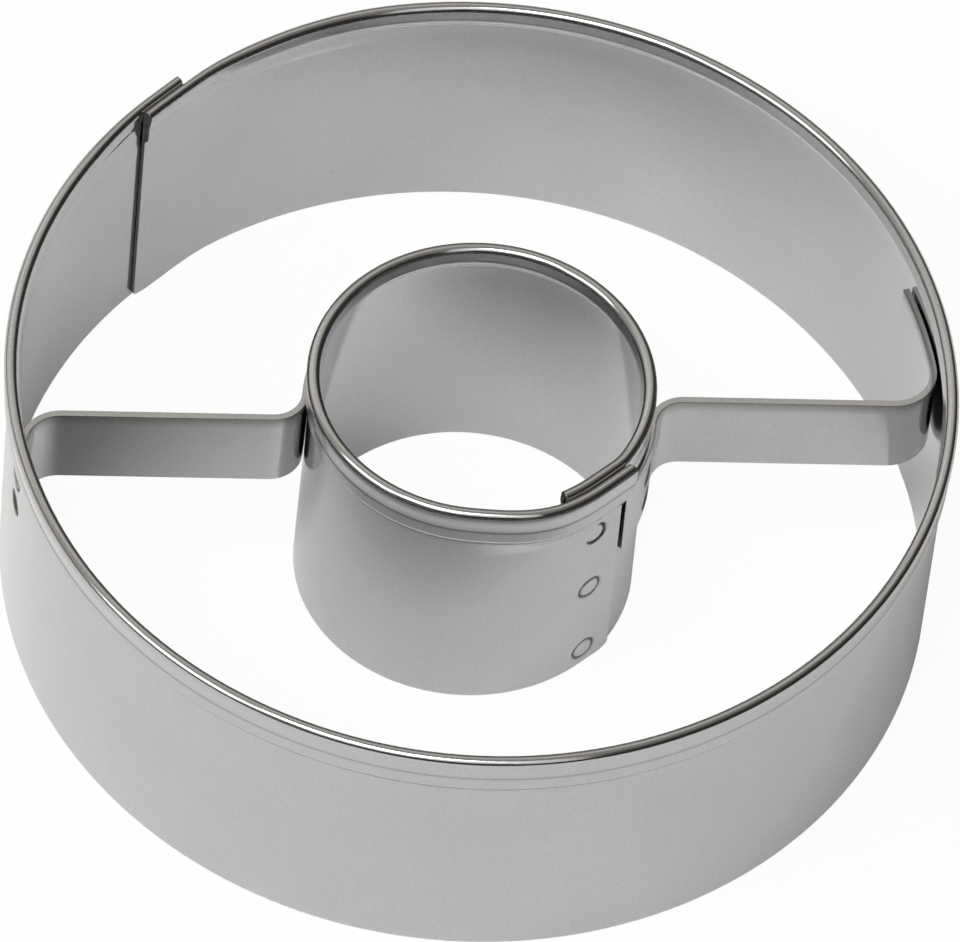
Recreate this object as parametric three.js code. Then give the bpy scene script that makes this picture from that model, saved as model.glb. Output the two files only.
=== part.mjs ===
// Doughnut cutter: two hemmed sheet-metal rings, one inside the other, held apart by two bent bridge straps.
// Millimetres, +Z up. Both rings stand on their cutting edges at Z = 0 and share the Z axis.
// +X runs along the straps, and -Y is the front.

import * as THREE from "three";

// Rings, measured over the plain wall
const ringHeight = 26.3;
const outerRingDiameter = 80;
const innerRingDiameter = 28.3;
const ringSheet = 0.35;

// Hem along the top of a ring: the wall steps outward and folds over inward into a bead, whose leaf closes
// against the step. Depths are measured from the rim.
const hemStepDepth = 2.9;
const hemStepRun = 1.8;
const hemStepOut = 0.5;
const hemLeafDepth = 4.05;
const hemSlit = 0.4;
const hemLeafGap = 0.05;

// Lap seam, where the two ends of a ring's strip overlap: the upper part of each layer leans away from the
// other, so that the two hems pass
const lapGap = 0.1;
const lapCornerRadius = 1;
const lapLeanHeight = 1.5;
const lapLeanRun = 20;
const lapLeanOutShare = 0.6;

// Outer ring's seam, at the back left
const outerLapDegrees = 129;
const outerLapOverlap = 4.4;
const outerLapFlat = 3;
const outerLapBlend = 0.5;

// Inner ring's seam, at the front right, where its outer end butts against the right strap's tab
const innerLapOverlap = 6.2;
const innerLapFlat = 3.4;
const innerLapBlend = 0.15;
const innerLapButtGap = 0.4;

// Bridge straps
const strapSheet = 0.65;
const strapHeight = 8.5;
const strapOffset = 1.35;
const strapTopDepth = 4.3;
const innerBendRadius = 2.5;
const outerBendRadius = 3.2;
const strapSeatGap = 0.15;
const outerTabLength = 8.5;
const innerTabLength = 7.4;

// Mesh fineness
const outerRingSteps = 84;
const innerRingSteps = 64;
const hemFoldSteps = 8;
const hemStepSteps = 3;
const lapCornerSteps = 4;
const strapArcSteps = 8;

// Worked out from the sizes above
const hemStepEnd = hemStepDepth + hemStepRun;
const hemFoldRadius = ringSheet + hemSlit / 2;
const hemFoldCentre = ringSheet + hemStepOut - hemFoldRadius;
const lapSpacing = ringSheet + lapGap;
const lapLean = ringSheet + hemSlit;
const lapReach = Math.PI / 3;
const fullTurn = 2 * Math.PI;

const outerTabRadius = outerRingDiameter / 2 - ringSheet - strapSeatGap - strapSheet / 2;
const innerTabRadius = innerRingDiameter / 2 + strapSeatGap + strapSheet / 2;
const innerBendMiddle = innerBendRadius + strapSheet / 2;
const outerBendMiddle = outerBendRadius + strapSheet / 2;
const strapBottom = ringHeight - strapTopDepth - strapHeight;

// Satin stainless steel: the straps are a little duller than the rings
const ringFinish = { color: 0xb9b9b7, roughness: 0.3, metalness: 1 };
const strapFinish = { color: 0xadaeb0, roughness: 0.36, metalness: 1 };

// How far the wall stands outward of its plain part, at a depth below the rim
function wallStep(depth) {
  return hemStepOut * (1 - THREE.MathUtils.smoothstep(depth, hemStepDepth, hemStepEnd));
}

// Cross-section of a ring's strip as a closed outline: X is the distance outward from the wall's inside face
function stripSection() {
  const leanDepths = [lapLeanHeight, lapLeanHeight / 2].map((below) => hemStepEnd + below);
  const stepDepths = [];
  for (let i = 0; i <= hemStepSteps; i += 1) {
    stepDepths.push(hemStepEnd - (hemStepRun * i) / hemStepSteps);
  }
  const depths = [ringHeight, ...leanDepths, ...stepDepths];
  const wallPoint = (offset, depth) => new THREE.Vector2(offset + wallStep(depth), ringHeight - depth);
  const wallFace = (offset) => depths.map((depth) => wallPoint(offset, depth));

  const foldHeight = ringHeight - hemFoldRadius;
  const foldArc = (radius, from, to, clockwise, steps) =>
    new THREE.EllipseCurve(hemFoldCentre, foldHeight, radius, radius, from, to, clockwise).getPoints(steps);

  const leafBack = wallStep(hemLeafDepth) - hemLeafGap;
  const leafPoint = (x) => new THREE.Vector2(x, ringHeight - hemLeafDepth);
  const leafEdge = [leafPoint(leafBack - ringSheet), leafPoint(leafBack)];

  return [
    ...wallFace(ringSheet),
    ...foldArc(hemFoldRadius, 0, Math.PI, false, hemFoldSteps),
    ...leafEdge,
    ...foldArc(hemSlit / 2, Math.PI, 0, true, hemFoldSteps / 2),
    ...wallFace(0).reverse(),
  ];
}

// How far the bottom corner at a strip's end is rounded up, at a distance from that end
function cornerLift(distance) {
  const inset = Math.max(lapCornerRadius - distance, 0);
  return lapCornerRadius - Math.sqrt(lapCornerRadius ** 2 - inset ** 2);
}

// Distances along a strip at which its section is placed, closer together on the rounded end corners
function stripStations(length, steps) {
  const corner = [];
  for (let i = 0; i < lapCornerSteps; i += 1) {
    corner.push(lapCornerRadius * (1 - Math.cos((Math.PI / 2) * (i / lapCornerSteps))));
  }
  const middle = [];
  for (let i = 0; i <= steps; i += 1) {
    middle.push(lapCornerRadius + ((length - 2 * lapCornerRadius) * i) / steps);
  }
  return [...corner, ...middle, ...corner.map((distance) => length - distance).reverse()];
}

// A ring: one strip swept round from its inner end, under the lap, to its outer end, on top of the lap.
// endAngle is where the outer end stops, and turn is 1 or -1 for the way round.
function ringStrip({ diameter, endAngle, turn, overlap, flat, blend, steps }) {
  const radius = diameter / 2 - ringSheet;
  const lapAngle = overlap / radius;
  const length = radius * fullTurn + overlap;
  const flatAngle = Math.atan(flat / radius);
  const leanAngle = lapLeanRun / radius;

  // The outer end runs on straight from where it leaves the circle
  const flatRise = (angle) => {
    const past = THREE.MathUtils.clamp(angle - (lapAngle - flatAngle), 0, lapReach);
    return radius / Math.cos(past) - radius;
  };
  // The inner end lies one sheet and a gap inside it, and eases back out to the circle
  const tuck = (angle) => {
    const short = lapSpacing - flatRise(angle);
    return (short + Math.hypot(short, blend)) / 2;
  };
  const leanAt = (angle) => {
    const inward = 1 - THREE.MathUtils.smoothstep(angle, lapAngle, lapAngle + leanAngle);
    const outward = THREE.MathUtils.smoothstep(angle, fullTurn - leanAngle, fullTurn);
    return lapLean * (outward * lapLeanOutShare - inward * (1 - lapLeanOutShare));
  };
  const pathRadius = (angle) => {
    const isInnerHalf = angle < Math.PI;
    return radius + (isInnerHalf ? -tuck(angle) : flatRise(angle - fullTurn));
  };
  const leanShare = (height) => {
    const top = ringHeight - hemStepEnd;
    return THREE.MathUtils.smoothstep(height, top - lapLeanHeight, top);
  };

  const section = stripSection();
  const stations = stripStations(length, steps);
  const positions = [];
  for (const distance of stations) {
    const angle = distance / radius;
    const azimuth = endAngle + turn * (angle - lapAngle);
    const lift = cornerLift(Math.min(distance, length - distance));
    for (const point of section) {
      const reach = pathRadius(angle) + leanAt(angle) * leanShare(point.y) + point.x;
      positions.push(reach * Math.cos(azimuth), reach * Math.sin(azimuth), Math.max(point.y, lift));
    }
  }

  const triangles = [];
  const addTriangle = (a, b, c) => (turn > 0 ? triangles.push(a, b, c) : triangles.push(a, c, b));
  const count = section.length;
  for (let i = 0; i + 1 < stations.length; i += 1) {
    for (let j = 0; j < count; j += 1) {
      const here = i * count + j;
      const above = i * count + ((j + 1) % count);
      addTriangle(here, here + count, above);
      addTriangle(above, here + count, above + count);
    }
  }
  const last = (stations.length - 1) * count;
  for (const [a, b, c] of THREE.ShapeUtils.triangulateShape(section, [])) {
    addTriangle(a, b, c);
    addTriangle(last + a, last + c, last + b);
  }

  const geometry = new THREE.BufferGeometry();
  geometry.setAttribute("position", new THREE.Float32BufferAttribute(positions, 3));
  geometry.setIndex(triangles);
  geometry.computeVertexNormals();
  return geometry;
}

// Plan of the right strap: a tab round the inner ring, a bend, a straight bridge, a bend and a tab in the
// outer ring
function strapPlan() {
  const innerBendY = strapOffset - innerBendMiddle;
  const innerBendX = Math.sqrt((innerTabRadius + innerBendMiddle) ** 2 - innerBendY ** 2);
  const innerBendAngle = Math.atan2(innerBendY, innerBendX);
  const outerBendY = strapOffset + outerBendMiddle;
  const outerBendX = Math.sqrt((outerTabRadius - outerBendMiddle) ** 2 - outerBendY ** 2);
  const outerBendAngle = Math.atan2(outerBendY, outerBendX);
  const innerEndAngle = innerBendAngle - innerTabLength / innerTabRadius;
  const outerEndAngle = outerBendAngle + outerTabLength / outerTabRadius;

  const arc = (x, y, radius, from, to, clockwise = false) =>
    new THREE.EllipseCurve(x, y, radius, radius, from, to, clockwise).getPoints(strapArcSteps);

  // One side of the ribbon, offset to the left of the way from the inner tab to the outer tab
  const side = (offset) => {
    const innerTab = arc(0, 0, innerTabRadius - offset, innerEndAngle, innerBendAngle);
    const innerBend = arc(innerBendX, innerBendY, innerBendMiddle + offset,
      innerBendAngle + Math.PI, Math.PI / 2, true);
    const outerBend = arc(outerBendX, outerBendY, outerBendMiddle - offset, -Math.PI / 2, outerBendAngle);
    const outerTab = arc(0, 0, outerTabRadius - offset, outerBendAngle, outerEndAngle);
    return [...innerTab.slice(0, -1), ...innerBend, ...outerBend.slice(0, -1), ...outerTab];
  };

  const outline = [...side(-strapSheet / 2), ...side(strapSheet / 2).reverse()];
  return { outline, innerEndAngle };
}

function strapGeometry(outline) {
  const sweep = { depth: strapHeight, bevelEnabled: false };
  const geometry = new THREE.ExtrudeGeometry(new THREE.Shape(outline), sweep);
  geometry.translate(0, 0, strapBottom);
  return geometry;
}

function addPiece(group, name, geometry, finish) {
  const piece = new THREE.Mesh(geometry, new THREE.MeshStandardMaterial(finish));
  piece.name = name;
  group.add(piece);
  return piece;
}

const strap = strapPlan();
const cutter = new THREE.Group();

addPiece(cutter, "outer_ring", ringStrip({
  diameter: outerRingDiameter,
  endAngle: THREE.MathUtils.degToRad(outerLapDegrees),
  turn: -1,
  overlap: outerLapOverlap,
  flat: outerLapFlat,
  blend: outerLapBlend,
  steps: outerRingSteps,
}), ringFinish);

addPiece(cutter, "inner_ring", ringStrip({
  diameter: innerRingDiameter,
  endAngle: strap.innerEndAngle - innerLapButtGap / innerTabRadius,
  turn: 1,
  overlap: innerLapOverlap,
  flat: innerLapFlat,
  blend: innerLapBlend,
  steps: innerRingSteps,
}), ringFinish);

addPiece(cutter, "right_bridge_strap", strapGeometry(strap.outline), strapFinish);
addPiece(cutter, "left_bridge_strap", strapGeometry(strap.outline), strapFinish).rotation.z = Math.PI;

export default cutter;
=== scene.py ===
"""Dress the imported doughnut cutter: sheet-metal meshes, satin steel, studio and camera.

Each solid is replaced by a finer strip of the same sheet: rings with hems, lap seams and spot-weld
marks, and bent straps. Metres, in the frame of the pack.
"""
import math

import bpy
import numpy as np
from mathutils import Matrix, Vector


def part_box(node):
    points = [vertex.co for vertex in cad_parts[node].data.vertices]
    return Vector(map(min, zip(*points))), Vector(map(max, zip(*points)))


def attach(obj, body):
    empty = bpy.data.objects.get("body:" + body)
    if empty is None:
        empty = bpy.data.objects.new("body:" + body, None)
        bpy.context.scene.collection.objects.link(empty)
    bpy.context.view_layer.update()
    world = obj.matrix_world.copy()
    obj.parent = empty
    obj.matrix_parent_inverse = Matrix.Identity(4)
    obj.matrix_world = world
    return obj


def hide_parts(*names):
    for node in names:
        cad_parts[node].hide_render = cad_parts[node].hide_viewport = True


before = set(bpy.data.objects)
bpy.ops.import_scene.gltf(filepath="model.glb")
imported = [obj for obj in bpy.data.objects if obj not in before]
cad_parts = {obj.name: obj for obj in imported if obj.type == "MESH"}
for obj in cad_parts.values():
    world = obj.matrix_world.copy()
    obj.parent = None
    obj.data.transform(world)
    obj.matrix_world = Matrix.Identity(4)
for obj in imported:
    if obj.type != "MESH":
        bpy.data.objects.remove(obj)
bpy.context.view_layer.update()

MM = 0.001
FULL_TURN = 2 * math.pi

# Ring sheet and hem, with depths measured from the rim
RING_SHEET = 0.35 * MM
HEM_STEP_DEPTH = 3.6 * MM
HEM_STEP_RUN = 0.8 * MM
HEM_STEP_END = HEM_STEP_DEPTH + HEM_STEP_RUN
HEM_STEP_OUT = 0.38 * MM
HEM_OVERHANG_DEPTH = 0.7 * MM
HEM_OVERHANG_RUN = 1.5 * MM
HEM_OVERHANG = 0.12 * MM
HEM_LEAF_DEPTH = 4.45 * MM
HEM_LEAF_GAP = 0.03 * MM
HEM_LEAF_THINNEST = 0.1 * MM
HEM_LEAF_PROUD = 0.12 * MM
HEM_BEAD = 1.15 * MM
HEM_FLARE = math.radians(11)
HEM_FLARE_DEPTH = 1.3 * MM
HEM_NECK_RUN = 1.1 * MM

# Fine grooves above and below the hem's step, with shade painted dark into them
HEM_CREASE_DEPTHS = (2.35 * MM, 4.3 * MM)
HEM_CREASE = 0.015 * MM
HEM_CREASE_WIDTH = 0.13 * MM
HEM_CREASE_PAINTED_SHADE = 0.38

# Lap seams, where the two ends of a ring's strip overlap
LAP_GAP = 0.03 * MM
LAP_SPACING = RING_SHEET + LAP_GAP
LAP_LEAN_HEIGHT = 1.5 * MM
LAP_PRESS_RUN = 8.0 * MM
LAP_CORNER_RADIUS = 0.8 * MM
LAP_CORNER_REACH = 3.0 * MM
LAP_REACH = math.radians(60)

# Outer ring's seam, at the back left
OUTER_LAP_ANGLE = math.radians(128.6)
OUTER_LAP_OVERLAP = 4.7 * MM
OUTER_LAP_FLAT = 3.0 * MM
OUTER_LAP_BLEND = 0.2 * MM
OUTER_LAP_LEAN = 0.06 * MM
OUTER_LAP_LEAN_RUN = 20.0 * MM
OUTER_LAP_PRESS = 1

# Inner ring's seam, at the front right, where its outer end butts against the right strap's tab
INNER_LAP_BUTT_GAP = 0.4 * MM
INNER_LAP_OVERLAP = 6.2 * MM
INNER_LAP_FLAT = 3.4 * MM
INNER_LAP_BLEND = 0.05 * MM
INNER_LAP_LEAN = 0.75 * MM
INNER_LAP_LEAN_RUN = 8.0 * MM
INNER_LAP_PRESS = 0.35

# Bridge straps
STRAP_SHEET = 0.58 * MM
STRAP_OFFSET = 1.35 * MM
INNER_BEND_RADIUS = 2.5 * MM
OUTER_BEND_RADIUS = 3.2 * MM
OUTER_SEAT_GAP = 0.15 * MM
INNER_SEAT_GAP = 0.05 * MM
OUTER_TAB_LENGTH = 8.5 * MM
INNER_TAB_LENGTH = 7.4 * MM

# Sheared edges are slightly rounded, and dull on the rings' ends. Just below the straps' tops a
# dark band is painted shade, for the dark surroundings mirrored in the edge's lower rounding
EDGE_RADIUS = 0.04 * MM
RING_CUT_START = 0.3 * EDGE_RADIUS
STRAP_PAINTED_SHADE = 0.9
STRAP_SHADE_BAND = 0.26 * MM

# How far the rings are out of round on each side along X, at the cutting edge and at the rim
INNER_STRETCH = (0.38 * MM, 0.27 * MM)
OUTER_STRETCH = (-0.35 * MM, 0.1 * MM)

# Spot-weld marks: a pressed ring round a shallow dish, whose depth is a share of the ring's
WELD_RADIUS = 1.05 * MM
WELD_GROOVE = 0.14 * MM
WELD_GROOVE_WIDTH = 0.13 * MM
WELD_DISH_RADIUS = 0.6 * MM
WELD_DISH_EDGE = (0.7 * WELD_DISH_RADIUS, 1.3 * WELD_DISH_RADIUS)
WELD_DISH_SHARE = 0.3
WELD_BURN_EDGE = (0.6 * WELD_RADIUS, 1.1 * WELD_RADIUS)
WELD_REACH = 1.6 * MM

# Places of the weld marks
LAP_WELD_HEIGHTS = (1.9 * MM, 10.7 * MM, 18.4 * MM)
INNER_LAP_WELD_ANGLE = math.radians(-47)
OUTER_LAP_WELD_ANGLE = math.radians(132)
OUTER_TAB_WELD_ANGLE = math.radians(10.2)
OUTER_TAB_WELD_RISE = 0.85 * MM
INNER_TAB_WELD_RISE = -1.3 * MM
INNER_TAB_WELD_FROM_BEND = 2.4 * MM
TAB_WELD_SPACING = 3.4 * MM

# How burnt a weld's middle is: none, or a tab's lower and upper weld
UNBURNT = 0
OUTER_TAB_WELD_BURNS = (0.9, 0.4)
INNER_TAB_WELD_BURNS = (0.8, 0.8)

# Which way an electrode leans, to the right and upward
EVEN = (0, 0)
TILTED = (1.3, -1.0)

# Mesh spacing
FINE_STEP = 0.13 * MM
WALL_STEP = 1.4 * MM
LEAF_STEP = 0.12 * MM
OUTER_RING_STEP = 1.4 * MM
INNER_RING_STEP = 0.8 * MM
STRAP_STEP = 0.5 * MM
HEM_FINE_STEP = 0.5 * HEM_CREASE_WIDTH
HEM_FINE_BELOW = 2.5 * HEM_CREASE_WIDTH
SHORTEST_STEP = 0.02 * EDGE_RADIUS
EDGE_POINTS = 8
POINTS_PAST_EDGE = (1.3, 2, 4)
FOLD_POINTS = 21

# Steel: rolling grain along the strip, speckle and clouding
NOISE_LOW = 0.3
NOISE_HIGH = 0.7
GRAIN_SCALE = 7000
GRAIN_STRETCH = (0.12, 1, 1)
GRAIN_DETAIL = 2
GRAIN_ROUGHNESS = 0.02
SPECKLE_SCALE = 4200
SPECKLE_DETAIL = 2
SPECKLE_TONE = 0.05
CLOUD_SCALE = 70
CLOUD_DETAIL = 4
CLOUD_TONE = 0.03
CLOUD_ROUGHNESS = 0.02
BUMP_STRENGTH = 0.12
BUMP_HEIGHT = 0.004 * MM

# Dull sheared edges and brown heat tint on the steel; the same colours also paint shade: the dark
# band below the straps' tops and the dark lines in the hem's grooves
DULL_CUT_AND_SHADE_COLOR = (0.16, 0.165, 0.155)
DULL_CUT_AND_SHADE_SHARE = 0.9
EDGE_ROUGHNESS = 0.3
HEAT_AND_SHADE_COLOR = (0.07, 0.052, 0.034)
HEAT_AND_SHADE_SHARE = 0.9
HEAT_ROUGHNESS = 0.25
HEAT_AND_SHADE_REFLECTION = (0.1, 0.08, 0.06)

# Studio
FLOOR_SIZE = 6
PAPER_WHITENESS = 0.9
LAMP_DISTANCE = 0.9
WHITE = (1.0, 1.0, 1.0)

# Camera: a long lens whose place was fitted to the photo's rims and cutting edges
IMAGE_WIDTH = 960
FOCAL_PIXELS = 29235
SENSOR_WIDTH = 36
FAR_CLIP = 20
VIEW_ELEVATION = math.radians(53.22)
VIEW_ROLL = math.radians(-6.21)
VIEW_TURN = math.radians(6.38)
VIEW_DISTANCE = 2500 * MM
VIEW_SHIFT_RIGHT = -1.5 * MM
VIEW_SHIFT_DOWN = 7.76 * MM

# Sizes read off the frame
_, outer_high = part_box("outer_ring")
inner_low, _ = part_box("inner_ring")
strap_low, strap_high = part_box("right_bridge_strap")
RING_HEIGHT = outer_high[2]
OUTER_WALL_RADIUS = outer_high[0] - HEM_STEP_OUT - HEM_OVERHANG
INNER_WALL_RADIUS = -inner_low[0] - HEM_STEP_OUT - HEM_OVERHANG
STRAP_BOTTOM = strap_low[2]
STRAP_TOP = strap_high[2]
STRAP_MIDDLE = (STRAP_BOTTOM + STRAP_TOP) / 2
INNER_TAB_RADIUS = INNER_WALL_RADIUS + INNER_SEAT_GAP + STRAP_SHEET / 2
OUTER_TAB_RADIUS = OUTER_WALL_RADIUS - RING_SHEET - OUTER_SEAT_GAP - STRAP_SHEET / 2


def smooth(value, low, high):
    """Rise from 0 at low to 1 at high with level ends."""
    share = np.clip((value - low) / (high - low), 0, 1)
    return share * share * (3 - 2 * share)


def graded(length, step, fine_places=()):
    """Distances from 0 to length, a step apart, closer on rounded ends and round fine places."""
    distances = np.linspace(0, length, max(2, round(length / step) + 1))
    for place in fine_places:
        distances = distances[np.abs(distances - place) > WELD_REACH]
    fine = [np.arange(place - WELD_REACH, place + WELD_REACH, FINE_STEP) for place in fine_places]
    rounding = 1 - np.cos(np.linspace(0, math.pi / 2, EDGE_POINTS))
    near = EDGE_RADIUS * np.concatenate([rounding, POINTS_PAST_EDGE])
    merged = np.sort(np.concatenate([distances, *fine, near, length - near]))
    merged = merged[(merged >= 0) & (merged <= length)]
    apart = np.concatenate([[True], np.diff(merged) > SHORTEST_STEP])
    return merged[apart]


def edge_inset(distance, radius):
    """How much a face draws in at a distance from a rounded edge."""
    short = np.clip(radius - distance, 0, radius)
    return radius - np.sqrt(radius**2 - short**2)


def weld_mark(across, up, tilt, burn):
    """Depth and heat tint of a spot-weld mark near its middle.

    The electrode presses harder on the side it is tilted to. The tint follows that press too, so a
    tilted mark is darker on its pressed side: heat tint with painted shade.
    """
    distance = np.hypot(across, up)
    press = np.clip(1 + (tilt[0] * across + tilt[1] * up) / WELD_RADIUS, 0, None)
    groove = press * np.exp(-(((distance - WELD_RADIUS) / WELD_GROOVE_WIDTH) ** 2))
    dish = 1 - smooth(distance, *WELD_DISH_EDGE)
    burnt = burn * (1 - smooth(distance, *WELD_BURN_EDGE))
    depth = WELD_GROOVE * (groove + (WELD_DISH_SHARE + burn) * dish)
    return depth, np.clip(np.maximum(groove, burnt), 0, 1)


def stretched(points):
    """Points of the round cutter, drawn slightly out of round along X."""
    radius = np.hypot(points[..., 0], points[..., 1])
    outward = (radius - INNER_WALL_RADIUS) / (OUTER_WALL_RADIUS - INNER_WALL_RADIUS)
    outward = np.clip(outward, 0, 1)
    low, high = (
        inner + (outer - inner) * outward for inner, outer in zip(INNER_STRETCH, OUTER_STRETCH)
    )
    amount = low + (high - low) * points[..., 2] / RING_HEIGHT
    same = np.ones_like(radius)
    return points * np.stack([1 + amount / radius, same, same], axis=-1)


def ribbon_mesh(name, left_face, right_face, stations, along, flipped, heat_tint_and_shade, dull_cut_and_shade):
    """A closed strip of sheet from its two faces, given as grids of points by station and level."""
    grid = stretched(np.concatenate([left_face, right_face[:, ::-1]], axis=1))
    rows, count, _ = grid.shape
    index = np.arange(rows * count).reshape(rows, count)
    following = np.roll(index, -1, axis=1)
    walls = np.stack([index[:-1], index[1:], following[1:], following[:-1]], axis=-1).reshape(-1, 4)
    levels = np.arange(count // 2 - 1)
    cap = np.stack([levels, levels + 1, count - 2 - levels, count - 1 - levels], axis=-1)
    faces = np.concatenate([walls, index[0][cap], index[-1][cap[:, ::-1]]])
    if flipped:
        faces = faces[:, ::-1]

    mesh = bpy.data.meshes.new(name)
    mesh.from_pydata(grid.reshape(-1, 3).tolist(), [], faces.tolist())
    corners = np.empty(len(mesh.loops), dtype=np.int32)
    mesh.loops.foreach_get("vertex_index", corners)
    across = np.concatenate([along, -along[::-1]])
    uv = np.stack(np.broadcast_arrays(stations[:, None], across[None, :]), axis=-1).reshape(-1, 2)
    layer = mesh.uv_layers.new(name="strip")
    layer.data.foreach_set("uv", uv[corners].astype(np.float32).ravel())
    for label, (left, right) in {"heat_tint_and_shade": heat_tint_and_shade, "dull_cut_and_shade": dull_cut_and_shade}.items():
        values = np.concatenate([left, right[:, ::-1]], axis=1).astype(np.float32)
        attribute = mesh.attributes.new(label, "FLOAT", "POINT")
        attribute.data.foreach_set("value", values.ravel())
    mesh.polygons.foreach_set("use_smooth", np.ones(len(mesh.polygons), dtype=bool))
    mesh.update()
    piece = bpy.data.objects.new(name, mesh)
    bpy.context.collection.objects.link(piece)
    return piece


def wall_step(depth):
    """How far the wall stands outward of its plain part, at a depth below the rim."""
    step = HEM_STEP_OUT * (1 - smooth(depth, HEM_STEP_DEPTH, HEM_STEP_END))
    overhang_end = HEM_OVERHANG_DEPTH + HEM_OVERHANG_RUN
    return step + HEM_OVERHANG * (1 - smooth(depth, HEM_OVERHANG_DEPTH, overhang_end))


def hem_crease(height):
    """Strength of the fine grooves above and below the step, and of the shade painted dark into
    them.
    """
    depth = RING_HEIGHT - height
    return sum(np.exp(-(((depth - mark) / HEM_CREASE_WIDTH) ** 2)) for mark in HEM_CREASE_DEPTHS)


def strip_midline(weld_heights):
    """Middle of the hemmed sheet from the cutting edge over the bead to the leaf's free edge.

    The bead swells inward at the rim. Below it the leaf lies in the wall's outward step, flush with
    the wall's inside, and thins out towards its free edge. Gives how far out, how far up, the
    distance along, how much further out it lies where the bead is pressed flat, and how much
    thicker the sheet is towards the wall.
    """
    fold_radius = (HEM_BEAD - RING_SHEET) / 2
    fold_out = RING_SHEET / 2 + wall_step(0) - fold_radius
    fold_up = RING_HEIGHT - fold_radius - RING_SHEET / 2
    fine_low = RING_HEIGHT - HEM_STEP_END - HEM_FINE_BELOW
    wall_up = np.concatenate([
        graded(fine_low - HEM_FINE_STEP, WALL_STEP, weld_heights),
        np.arange(fine_low, fold_up - HEM_FINE_STEP, HEM_FINE_STEP),
    ])
    wall_out = RING_SHEET / 2 + wall_step(RING_HEIGHT - wall_up)

    turn = np.linspace(0, math.pi - HEM_FLARE, FOLD_POINTS)
    arc_out = fold_out + fold_radius * np.cos(turn)
    arc_up = fold_up + fold_radius * np.sin(turn)

    leaf_top = RING_HEIGHT - arc_up[-1]
    down = graded(HEM_LEAF_DEPTH - leaf_top, LEAF_STEP)[1:]
    leaf_depth = leaf_top + down
    proud = HEM_LEAF_PROUD * (1 - down / down[-1]) ** 2
    closed_out = RING_SHEET / 2 - proud
    swell = closed_out - arc_out[-1] + down * math.tan(HEM_FLARE)
    bulge = swell * (1 - smooth(leaf_depth, HEM_FLARE_DEPTH, HEM_FLARE_DEPTH + HEM_NECK_RUN))
    leaf_out = closed_out - bulge
    room_for_leaf = wall_step(leaf_depth) - HEM_LEAF_GAP + proud
    filled = np.maximum(room_for_leaf, HEM_LEAF_THINNEST) - RING_SHEET

    arc_share = (arc_out[0] - arc_out) / (arc_out[0] - arc_out[-1])
    press = np.concatenate([0 * wall_out, arc_share * bulge[0], bulge])
    squeeze = np.concatenate([0 * wall_out, arc_share * filled[0], filled])
    out = np.concatenate([wall_out, arc_out, leaf_out])
    up = np.concatenate([wall_up, arc_up, arc_up[-1] - down])
    along = np.concatenate([[0], np.cumsum(np.hypot(np.diff(out), np.diff(up)))])
    return out, up, along, press, squeeze


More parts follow.
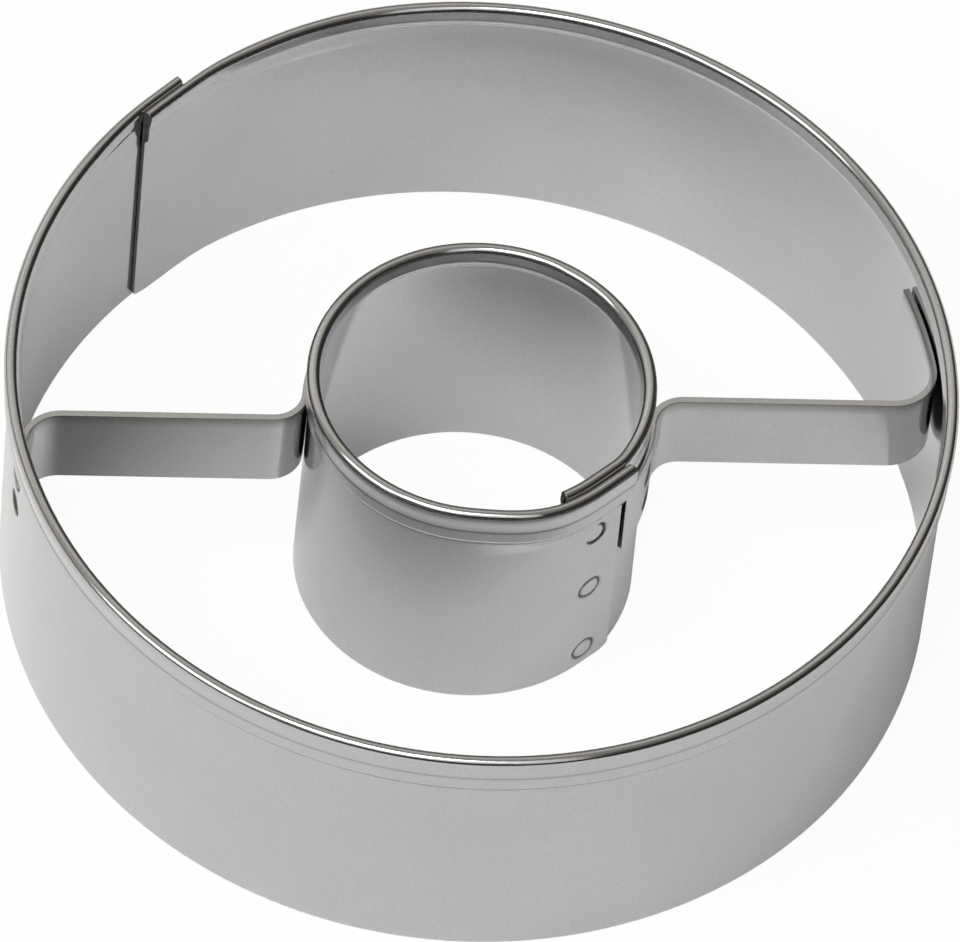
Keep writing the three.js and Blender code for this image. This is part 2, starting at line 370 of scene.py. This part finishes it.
def ring(
    name, wall_radius, end_angle, turn, overlap, flat, blend, lean, lean_run, bead_press,
    is_step_flattened, spacing, welds,
):
    """A ring: one strip swept round from its inner end, under the lap, to its outer end, on top.

    end_angle is where the outer end stops, and turn is 1 or -1 for the way round. At the lap the
    outer layer leans outward below its hem, so that its bead passes the inner layer's, and both
    beads are pressed flatter. The inner layer's step can be flattened too. Each weld mark on the
    outside is an azimuth, a height, a tilt and a burn.
    """
    inside = wall_radius - RING_SHEET
    lap_angle = overlap / inside
    length = inside * FULL_TURN + overlap
    flat_angle = math.atan(flat / inside)

    def flat_rise(angle):
        past = np.clip(angle - (lap_angle - flat_angle), 0, LAP_REACH)
        return inside / np.cos(past) - inside

    def distance_to(azimuth):
        angle = (turn * (azimuth - end_angle) + lap_angle) % FULL_TURN
        on_top = FULL_TURN if angle < lap_angle else 0
        return (angle + on_top) * inside

    weld_places = [(distance_to(azimuth), *mark) for azimuth, *mark in welds]
    stations = graded(length, spacing, {place for place, *_ in weld_places})
    weld_heights = {height for _, height, *_ in weld_places}
    mid_out, mid_up, along, press, squeeze = strip_midline(weld_heights)
    slope = np.hypot(np.gradient(mid_out, along), np.gradient(mid_up, along))
    normal_out = np.gradient(mid_up, along) / slope
    normal_up = -np.gradient(mid_out, along) / slope

    angle = stations / inside
    azimuth = (end_angle + turn * (angle - lap_angle))[:, None]
    short = LAP_SPACING - flat_rise(angle)
    tuck = (short + np.hypot(short, blend)) / 2
    path = inside + np.where(angle < math.pi, -tuck, flat_rise(angle - FULL_TURN))

    lean_top = RING_HEIGHT - HEM_STEP_END
    lean_share = smooth(mid_up, lean_top - LAP_LEAN_HEIGHT, lean_top)
    lap_start = length - overlap
    shift = lean * smooth(stations, lap_start - lean_run, lap_start)[:, None] * lean_share
    if is_step_flattened:
        flattened = 1 - smooth(stations, overlap, overlap + lean_run)
        shift -= flattened[:, None] * wall_step(RING_HEIGHT - mid_up)
    for distance in (stations, length - stations):
        pressed = 1 - smooth(distance, overlap, overlap + LAP_PRESS_RUN)
        shift += bead_press * pressed[:, None] * press

    from_end = np.minimum(stations, length - stations)[:, None]
    from_edge = np.minimum(along, along[-1] - along)[None, :]
    lift = edge_inset(from_end, LAP_CORNER_RADIUS)
    inset = np.maximum(edge_inset(from_end, EDGE_RADIUS), edge_inset(from_edge, EDGE_RADIUS))
    dull_cut_and_shade = 1 - smooth(from_end, RING_CUT_START, EDGE_RADIUS) + np.zeros_like(from_edge)
    is_wall = np.arange(len(along)) < np.argmax(mid_up)

    faces = []
    heat_tints_and_shade = []
    for side in (1, -1):
        half = side * (RING_SHEET / 2 - inset) - squeeze * (side < 0)
        out = mid_out + shift + half * normal_out
        up = mid_up + half * normal_up
        up = up + lift * np.clip(1 - up / LAP_CORNER_REACH, 0, 1)
        heat_tint_and_shade = np.zeros_like(out)
        if side > 0:
            crease = np.where(is_wall, hem_crease(mid_up), 0)
            out = out - HEM_CREASE * crease
            # Painted shade: the grooves are darkened in colour, as if shade fell in them
            heat_tint_and_shade = heat_tint_and_shade + HEM_CREASE_PAINTED_SHADE * crease
            for place, height, tilt, burn in weld_places:
                across = turn * (stations[:, None] - place)
                depth, weld_tint = weld_mark(across, mid_up[None, :] - height, tilt, burn)
                out = out - np.where(is_wall, depth, 0)
                heat_tint_and_shade = np.maximum(heat_tint_and_shade, np.where(is_wall, weld_tint, 0))
        reach = path[:, None] + out
        faces.append(np.stack([reach * np.cos(azimuth), reach * np.sin(azimuth), up], axis=-1))
        heat_tints_and_shade.append(heat_tint_and_shade)
    return ribbon_mesh(name, *faces, stations, along, turn < 0, heat_tints_and_shade, (dull_cut_and_shade, dull_cut_and_shade))


def strap_plan():
    """Plan of the right strap from its inner tab's end: start angle, and stretches of even bend."""
    inner_bend = INNER_BEND_RADIUS + STRAP_SHEET / 2
    outer_bend = OUTER_BEND_RADIUS + STRAP_SHEET / 2
    inner_y = STRAP_OFFSET - inner_bend
    inner_x = math.sqrt((INNER_TAB_RADIUS + inner_bend) ** 2 - inner_y**2)
    inner_angle = math.atan2(inner_y, inner_x)
    outer_y = STRAP_OFFSET + outer_bend
    outer_x = math.sqrt((OUTER_TAB_RADIUS - outer_bend) ** 2 - outer_y**2)
    outer_angle = math.atan2(outer_y, outer_x)
    start_angle = inner_angle - INNER_TAB_LENGTH / INNER_TAB_RADIUS
    stretches = [
        (INNER_TAB_LENGTH, 1 / INNER_TAB_RADIUS),
        (inner_bend * (math.pi / 2 + inner_angle), -1 / inner_bend),
        (outer_x - inner_x, 0),
        (outer_bend * (math.pi / 2 + outer_angle), 1 / outer_bend),
        (OUTER_TAB_LENGTH, 1 / OUTER_TAB_RADIUS),
    ]
    return start_angle, stretches


def follow(start_angle, stretches, distance):
    """Point and heading at a distance along a strap's plan."""
    x = INNER_TAB_RADIUS * math.cos(start_angle)
    y = INNER_TAB_RADIUS * math.sin(start_angle)
    heading = start_angle + math.pi / 2
    for length, curl in stretches:
        run = min(distance, length)
        turned = heading + curl * run
        if curl:
            x += (math.sin(turned) - math.sin(heading)) / curl
            y -= (math.cos(turned) - math.cos(heading)) / curl
        else:
            x += run * math.cos(heading)
            y += run * math.sin(heading)
        heading = turned
        distance -= run
    return x, y, heading


def strap(name, sign, weld_distance, weld_heights):
    """A bridge strap swept along its plan, with weld marks on the inner tab's outside face.

    sign is 1 for the right strap, and -1 for the left one, which is turned half a turn.
    """
    start_angle, stretches = strap_plan()
    length = sum(stretch for stretch, _ in stretches)
    weld_levels = [height - STRAP_BOTTOM for height in weld_heights]
    stations = graded(length, STRAP_STEP, [weld_distance])
    levels = STRAP_BOTTOM + graded(STRAP_TOP - STRAP_BOTTOM, WALL_STEP, weld_levels)
    plan = np.array([follow(start_angle, stretches, distance) for distance in stations])
    x, y, heading = plan.T[:, :, None]

    from_end = np.minimum(stations, length - stations)[:, None]
    from_edge = np.minimum(levels - STRAP_BOTTOM, STRAP_TOP - levels)[None, :]
    inset = np.maximum(edge_inset(from_end, EDGE_RADIUS), edge_inset(from_edge, EDGE_RADIUS))
    below_top = (STRAP_TOP - levels)[None, :]
    # Painted shade: a dark band just below the top, standing for the dark surroundings mirrored in
    # the edge
    painted_shade_band = np.where(below_top > 0, np.exp(-((below_top / STRAP_SHADE_BAND) ** 2)), 0)
    dull_cut_and_shade = STRAP_PAINTED_SHADE * painted_shade_band + np.zeros_like(from_end)
    faces = []
    heat_tints_and_shade = []
    for side in (1, -1):
        offset = STRAP_SHEET / 2 - inset
        heat_tint_and_shade = np.zeros_like(offset)
        if side < 0:
            across = stations[:, None] - weld_distance
            for height, burn in zip(weld_heights, INNER_TAB_WELD_BURNS):
                depth, weld_tint = weld_mark(across, levels[None, :] - height, EVEN, burn)
                offset = offset - depth
                heat_tint_and_shade = np.maximum(heat_tint_and_shade, weld_tint)
        face_x = sign * (x - side * offset * np.sin(heading))
        face_y = sign * (y + side * offset * np.cos(heading))
        faces.append(np.stack([face_x, face_y, np.broadcast_to(levels, face_x.shape)], axis=-1))
        heat_tints_and_shade.append(heat_tint_and_shade)
    return ribbon_mesh(name, *faces, stations, levels, True, heat_tints_and_shade, (dull_cut_and_shade, dull_cut_and_shade))


def steel(name, color, roughness):
    """Satin rolled stainless sheet: fine grain, faint clouding, dull edges, brown weld rings, and
    painted shade: a dark band below the straps' tops and dark lines in the hem's grooves.
    """
    material = bpy.data.materials.new(name)
    material.use_nodes = True
    nodes = material.node_tree.nodes
    links = material.node_tree.links
    shader = nodes["Principled BSDF"]
    shader.inputs["Metallic"].default_value = 1.0

    def noise(vector, scale, detail, stretch=(1, 1, 1)):
        mapping = nodes.new("ShaderNodeMapping")
        mapping.inputs["Scale"].default_value = stretch
        texture = nodes.new("ShaderNodeTexNoise")
        texture.inputs["Scale"].default_value = scale
        texture.inputs["Detail"].default_value = detail
        links.new(vector, mapping.inputs["Vector"])
        links.new(mapping.outputs["Vector"], texture.inputs["Vector"])
        return texture.outputs["Fac"]

    def spread(factor, middle, amount):
        remap = nodes.new("ShaderNodeMapRange")
        remap.inputs["From Min"].default_value = NOISE_LOW
        remap.inputs["From Max"].default_value = NOISE_HIGH
        remap.inputs["To Min"].default_value = middle - amount
        remap.inputs["To Max"].default_value = middle + amount
        links.new(factor, remap.inputs["Value"])
        return remap.outputs["Result"]

    def combine(operation, first, second):
        node = nodes.new("ShaderNodeMath")
        node.operation = operation
        for socket, value in zip(node.inputs, (first, second)):
            if isinstance(value, (int, float)):
                socket.default_value = value
            else:
                links.new(value, socket)
        return node.outputs["Value"]

    def blend(factor, under, over):
        node = nodes.new("ShaderNodeMix")
        node.data_type = "RGBA"
        links.new(factor, node.inputs["Factor"])
        links.new(under, node.inputs["A"])
        node.inputs["B"].default_value = (*over, 1)
        return node.outputs["Result"]

    def attribute(label):
        node = nodes.new("ShaderNodeAttribute")
        node.attribute_name = label
        return node.outputs["Fac"]

    strip = nodes.new("ShaderNodeUVMap")
    strip.uv_map = "strip"
    place = nodes.new("ShaderNodeTexCoord")
    grain = noise(strip.outputs["UV"], GRAIN_SCALE, GRAIN_DETAIL, GRAIN_STRETCH)
    speckle = noise(place.outputs["Object"], SPECKLE_SCALE, SPECKLE_DETAIL)
    cloud = noise(place.outputs["Object"], CLOUD_SCALE, CLOUD_DETAIL)
    heat_tint_and_shade = attribute("heat_tint_and_shade")
    dull_cut_and_shade = attribute("dull_cut_and_shade")

    tone = combine("MULTIPLY", spread(speckle, 1, SPECKLE_TONE), spread(cloud, 1, CLOUD_TONE))
    sheet = nodes.new("ShaderNodeMix")
    sheet.data_type = "RGBA"
    sheet.blend_type = "MULTIPLY"
    sheet.inputs["Factor"].default_value = 1.0
    sheet.inputs["A"].default_value = (*color, 1)
    links.new(tone, sheet.inputs["B"])
    # Darkens the dull ring ends, and paints shade just below the straps' tops
    cut_and_shade_darkened = blend(combine("MULTIPLY", dull_cut_and_shade, DULL_CUT_AND_SHADE_SHARE), sheet.outputs["Result"], DULL_CUT_AND_SHADE_COLOR)
    # Brown heat tint on the welds, and painted shade in the hem's grooves
    heat_and_shade_tinted = blend(combine("MULTIPLY", heat_tint_and_shade, HEAT_AND_SHADE_SHARE), cut_and_shade_darkened, HEAT_AND_SHADE_COLOR)
    links.new(heat_and_shade_tinted, shader.inputs["Base Color"])
    clean = nodes.new("ShaderNodeRGB").outputs["Color"]
    clean.default_value = (*WHITE, 1)
    # Darker reflections on the welds' heat tint, and painted shade in the hem's grooves
    links.new(blend(heat_tint_and_shade, clean, HEAT_AND_SHADE_REFLECTION), shader.inputs["Specular Tint"])

    clouded = spread(cloud, roughness, CLOUD_ROUGHNESS)
    satin = combine("ADD", spread(grain, 0, GRAIN_ROUGHNESS), clouded)
    dulled = combine("MULTIPLY", dull_cut_and_shade, EDGE_ROUGHNESS)
    worn = combine("ADD", dulled, combine("MULTIPLY", heat_tint_and_shade, HEAT_ROUGHNESS))
    links.new(combine("ADD", satin, worn), shader.inputs["Roughness"])

    bump = nodes.new("ShaderNodeBump")
    bump.inputs["Strength"].default_value = BUMP_STRENGTH
    bump.inputs["Distance"].default_value = BUMP_HEIGHT
    links.new(combine("ADD", grain, speckle), bump.inputs["Height"])
    links.new(bump.outputs["Normal"], shader.inputs["Normal"])
    return material


def place_piece(piece, node, material):
    """Let a finished sheet stand in for its solid."""
    piece.data.materials.append(material)
    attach(piece, "root")
    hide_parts(node)


def paired(middle):
    """Heights of a tab's lower and upper weld."""
    return (middle - TAB_WELD_SPACING / 2, middle + TAB_WELD_SPACING / 2)


def paper_floor(camera_whiteness, reflected_whiteness):
    """A wide white floor that keeps a faint shadow.

    The whitenesses are how much plain white covers the paper, to the camera and in the metal.
    """
    bpy.ops.mesh.primitive_plane_add(size=FLOOR_SIZE)
    floor = bpy.context.object
    floor.name = "floor"
    material = bpy.data.materials.new("white_paper")
    material.use_nodes = True
    nodes = material.node_tree.nodes
    links = material.node_tree.links
    nodes.clear()
    output = nodes.new("ShaderNodeOutputMaterial")
    paper = nodes.new("ShaderNodeBsdfDiffuse")
    paper.inputs["Color"].default_value = (PAPER_WHITENESS, PAPER_WHITENESS, PAPER_WHITENESS, 1)
    white = nodes.new("ShaderNodeEmission")
    path = nodes.new("ShaderNodeLightPath")
    mix = nodes.new("ShaderNodeMixShader")
    shares = {
        "Is Camera Ray": camera_whiteness,
        "Is Glossy Ray": reflected_whiteness,
        "Is Transmission Ray": reflected_whiteness,
    }
    target = mix.inputs["Fac"]
    for ray, whiteness in shares.items():
        share = nodes.new("ShaderNodeMath")
        share.operation = "MULTIPLY_ADD"
        share.inputs[1].default_value = whiteness
        share.inputs[2].default_value = 0
        links.new(path.outputs[ray], share.inputs[0])
        links.new(share.outputs["Value"], target)
        target = share.inputs[2]
    links.new(paper.outputs["BSDF"], mix.inputs[1])
    links.new(white.outputs["Emission"], mix.inputs[2])
    links.new(mix.outputs["Shader"], output.inputs["Surface"])
    floor.data.materials.append(material)


def soft_light(name, azimuth, elevation, width, height, power, color=WHITE):
    """A flat lamp aimed at the origin, its azimuth in degrees to the right of the front."""
    around = math.radians(azimuth)
    above = math.radians(elevation)
    direction = Vector((
        math.cos(above) * math.sin(around),
        -math.cos(above) * math.cos(around),
        math.sin(above),
    ))
    lamp = bpy.data.lights.new(name, "AREA")
    lamp.shape = "RECTANGLE"
    lamp.size = width
    lamp.size_y = height
    lamp.energy = power
    lamp.color = color
    light = bpy.data.objects.new(name, lamp)
    light.location = direction * LAMP_DISTANCE
    light.rotation_euler = (-direction).to_track_quat("-Z", "Y").to_euler()
    bpy.context.collection.objects.link(light)


def room(toward, dark, bright, start, end):
    """A dim room that grows brighter towards one direction."""
    world = bpy.data.worlds.new("room")
    bpy.context.scene.world = world
    world.use_nodes = True
    nodes = world.node_tree.nodes
    links = world.node_tree.links
    direction = nodes.new("ShaderNodeTexCoord")
    facing = nodes.new("ShaderNodeVectorMath")
    facing.operation = "DOT_PRODUCT"
    facing.inputs[1].default_value = Vector(toward).normalized()
    ramp = nodes.new("ShaderNodeValToRGB")
    low, high = ramp.color_ramp.elements
    low.position, low.color = start, (*dark, 1)
    high.position, high.color = end, (*bright, 1)
    links.new(direction.outputs["Generated"], facing.inputs[0])
    links.new(facing.outputs["Value"], ramp.inputs["Fac"])
    links.new(ramp.outputs["Color"], nodes["Background"].inputs["Color"])


def photo_camera():
    """The photo's camera: it looks down from the front, slightly rolled and turned."""
    forward = Vector((0, math.cos(VIEW_ELEVATION), -math.sin(VIEW_ELEVATION)))
    level_right = Vector((1, 0, 0))
    level_down = forward.cross(level_right)
    cosine, sine = math.cos(VIEW_ROLL), math.sin(VIEW_ROLL)
    right = cosine * level_right + sine * level_down
    down = -sine * level_right + cosine * level_down
    place = -(VIEW_SHIFT_RIGHT * right + VIEW_SHIFT_DOWN * down + VIEW_DISTANCE * forward)
    turn = Matrix.Rotation(-VIEW_TURN, 3, "Z")
    axes = [turn @ axis for axis in (right, -down, -forward)]
    data = bpy.data.cameras.new("photo_camera")
    data.sensor_fit = "HORIZONTAL"
    data.sensor_width = SENSOR_WIDTH
    data.lens = FOCAL_PIXELS / IMAGE_WIDTH * SENSOR_WIDTH
    data.clip_end = FAR_CLIP
    camera = bpy.data.objects.new("photo_camera", data)
    camera.matrix_world = Matrix.Translation(turn @ place) @ Matrix(axes).transposed().to_4x4()
    bpy.context.collection.objects.link(camera)
    bpy.context.scene.camera = camera


# Weld marks
inner_tab_weld_heights = paired(STRAP_MIDDLE + INNER_TAB_WELD_RISE)
outer_tab_weld_heights = paired(STRAP_MIDDLE + OUTER_TAB_WELD_RISE)
inner_tab_weld_distance = INNER_TAB_LENGTH - INNER_TAB_WELD_FROM_BEND
outer_ring_welds = [(OUTER_LAP_WELD_ANGLE, height, EVEN, UNBURNT) for height in LAP_WELD_HEIGHTS]
for tab_angle in (OUTER_TAB_WELD_ANGLE, OUTER_TAB_WELD_ANGLE + math.pi):
    for height, burn in zip(outer_tab_weld_heights, OUTER_TAB_WELD_BURNS):
        outer_ring_welds.append((tab_angle, height, EVEN, burn))
inner_ring_welds = [
    (INNER_LAP_WELD_ANGLE, height, tilt, UNBURNT)
    for height, tilt in zip(LAP_WELD_HEIGHTS, (EVEN, EVEN, TILTED))
]

# Pieces
ring_steel = steel("ring_steel", color=(0.552, 0.552, 0.562), roughness=0.13)
strap_steel = steel("strap_steel", color=(0.53, 0.53, 0.538), roughness=0.14)
outer_ring = ring(
    "outer_ring_sheet",
    wall_radius=OUTER_WALL_RADIUS,
    end_angle=OUTER_LAP_ANGLE,
    turn=-1,
    overlap=OUTER_LAP_OVERLAP,
    flat=OUTER_LAP_FLAT,
    blend=OUTER_LAP_BLEND,
    lean=OUTER_LAP_LEAN,
    lean_run=OUTER_LAP_LEAN_RUN,
    bead_press=OUTER_LAP_PRESS,
    is_step_flattened=True,
    spacing=OUTER_RING_STEP,
    welds=outer_ring_welds,
)
place_piece(outer_ring, "outer_ring", ring_steel)
inner_ring = ring(
    "inner_ring_sheet",
    wall_radius=INNER_WALL_RADIUS,
    end_angle=strap_plan()[0] - INNER_LAP_BUTT_GAP / INNER_TAB_RADIUS,
    turn=1,
    overlap=INNER_LAP_OVERLAP,
    flat=INNER_LAP_FLAT,
    blend=INNER_LAP_BLEND,
    lean=INNER_LAP_LEAN,
    lean_run=INNER_LAP_LEAN_RUN,
    bead_press=INNER_LAP_PRESS,
    is_step_flattened=False,
    spacing=INNER_RING_STEP,
    welds=inner_ring_welds,
)
place_piece(inner_ring, "inner_ring", ring_steel)
for side, sign in (("right", 1), ("left", -1)):
    sheet = strap(f"{side}_strap_sheet", sign, inner_tab_weld_distance, inner_tab_weld_heights)
    place_piece(sheet, f"{side}_bridge_strap", strap_steel)

# Studio and camera
paper_floor(camera_whiteness=0.95, reflected_whiteness=0.07)
soft_light("key", azimuth=-30, elevation=66, width=0.36, height=0.36, power=3.4)
soft_light("side", azimuth=-68, elevation=46, width=0.5, height=0.5, power=1.8)
soft_light("front", azimuth=-14, elevation=50, width=0.5, height=0.5, power=0.6)
soft_light("strip", azimuth=16, elevation=50, width=0.2, height=0.75, power=0.35,
           color=(1.0, 0.99, 0.96))
soft_light("top_card", azimuth=174, elevation=53, width=0.8, height=0.45, power=0.32,
           color=(1.0, 0.97, 0.9))
soft_light("back_card", azimuth=-138, elevation=33, width=0.6, height=0.6, power=0.4,
           color=(1.0, 0.98, 0.95))
room(
    toward=(-0.5, 0.35, 0.8),
    dark=(0.04, 0.038, 0.035),
    bright=(0.46, 0.44, 0.405),
    start=0.1,
    end=1.0,
)
photo_camera()
bpy.context.scene.view_settings.view_transform = "Standard"
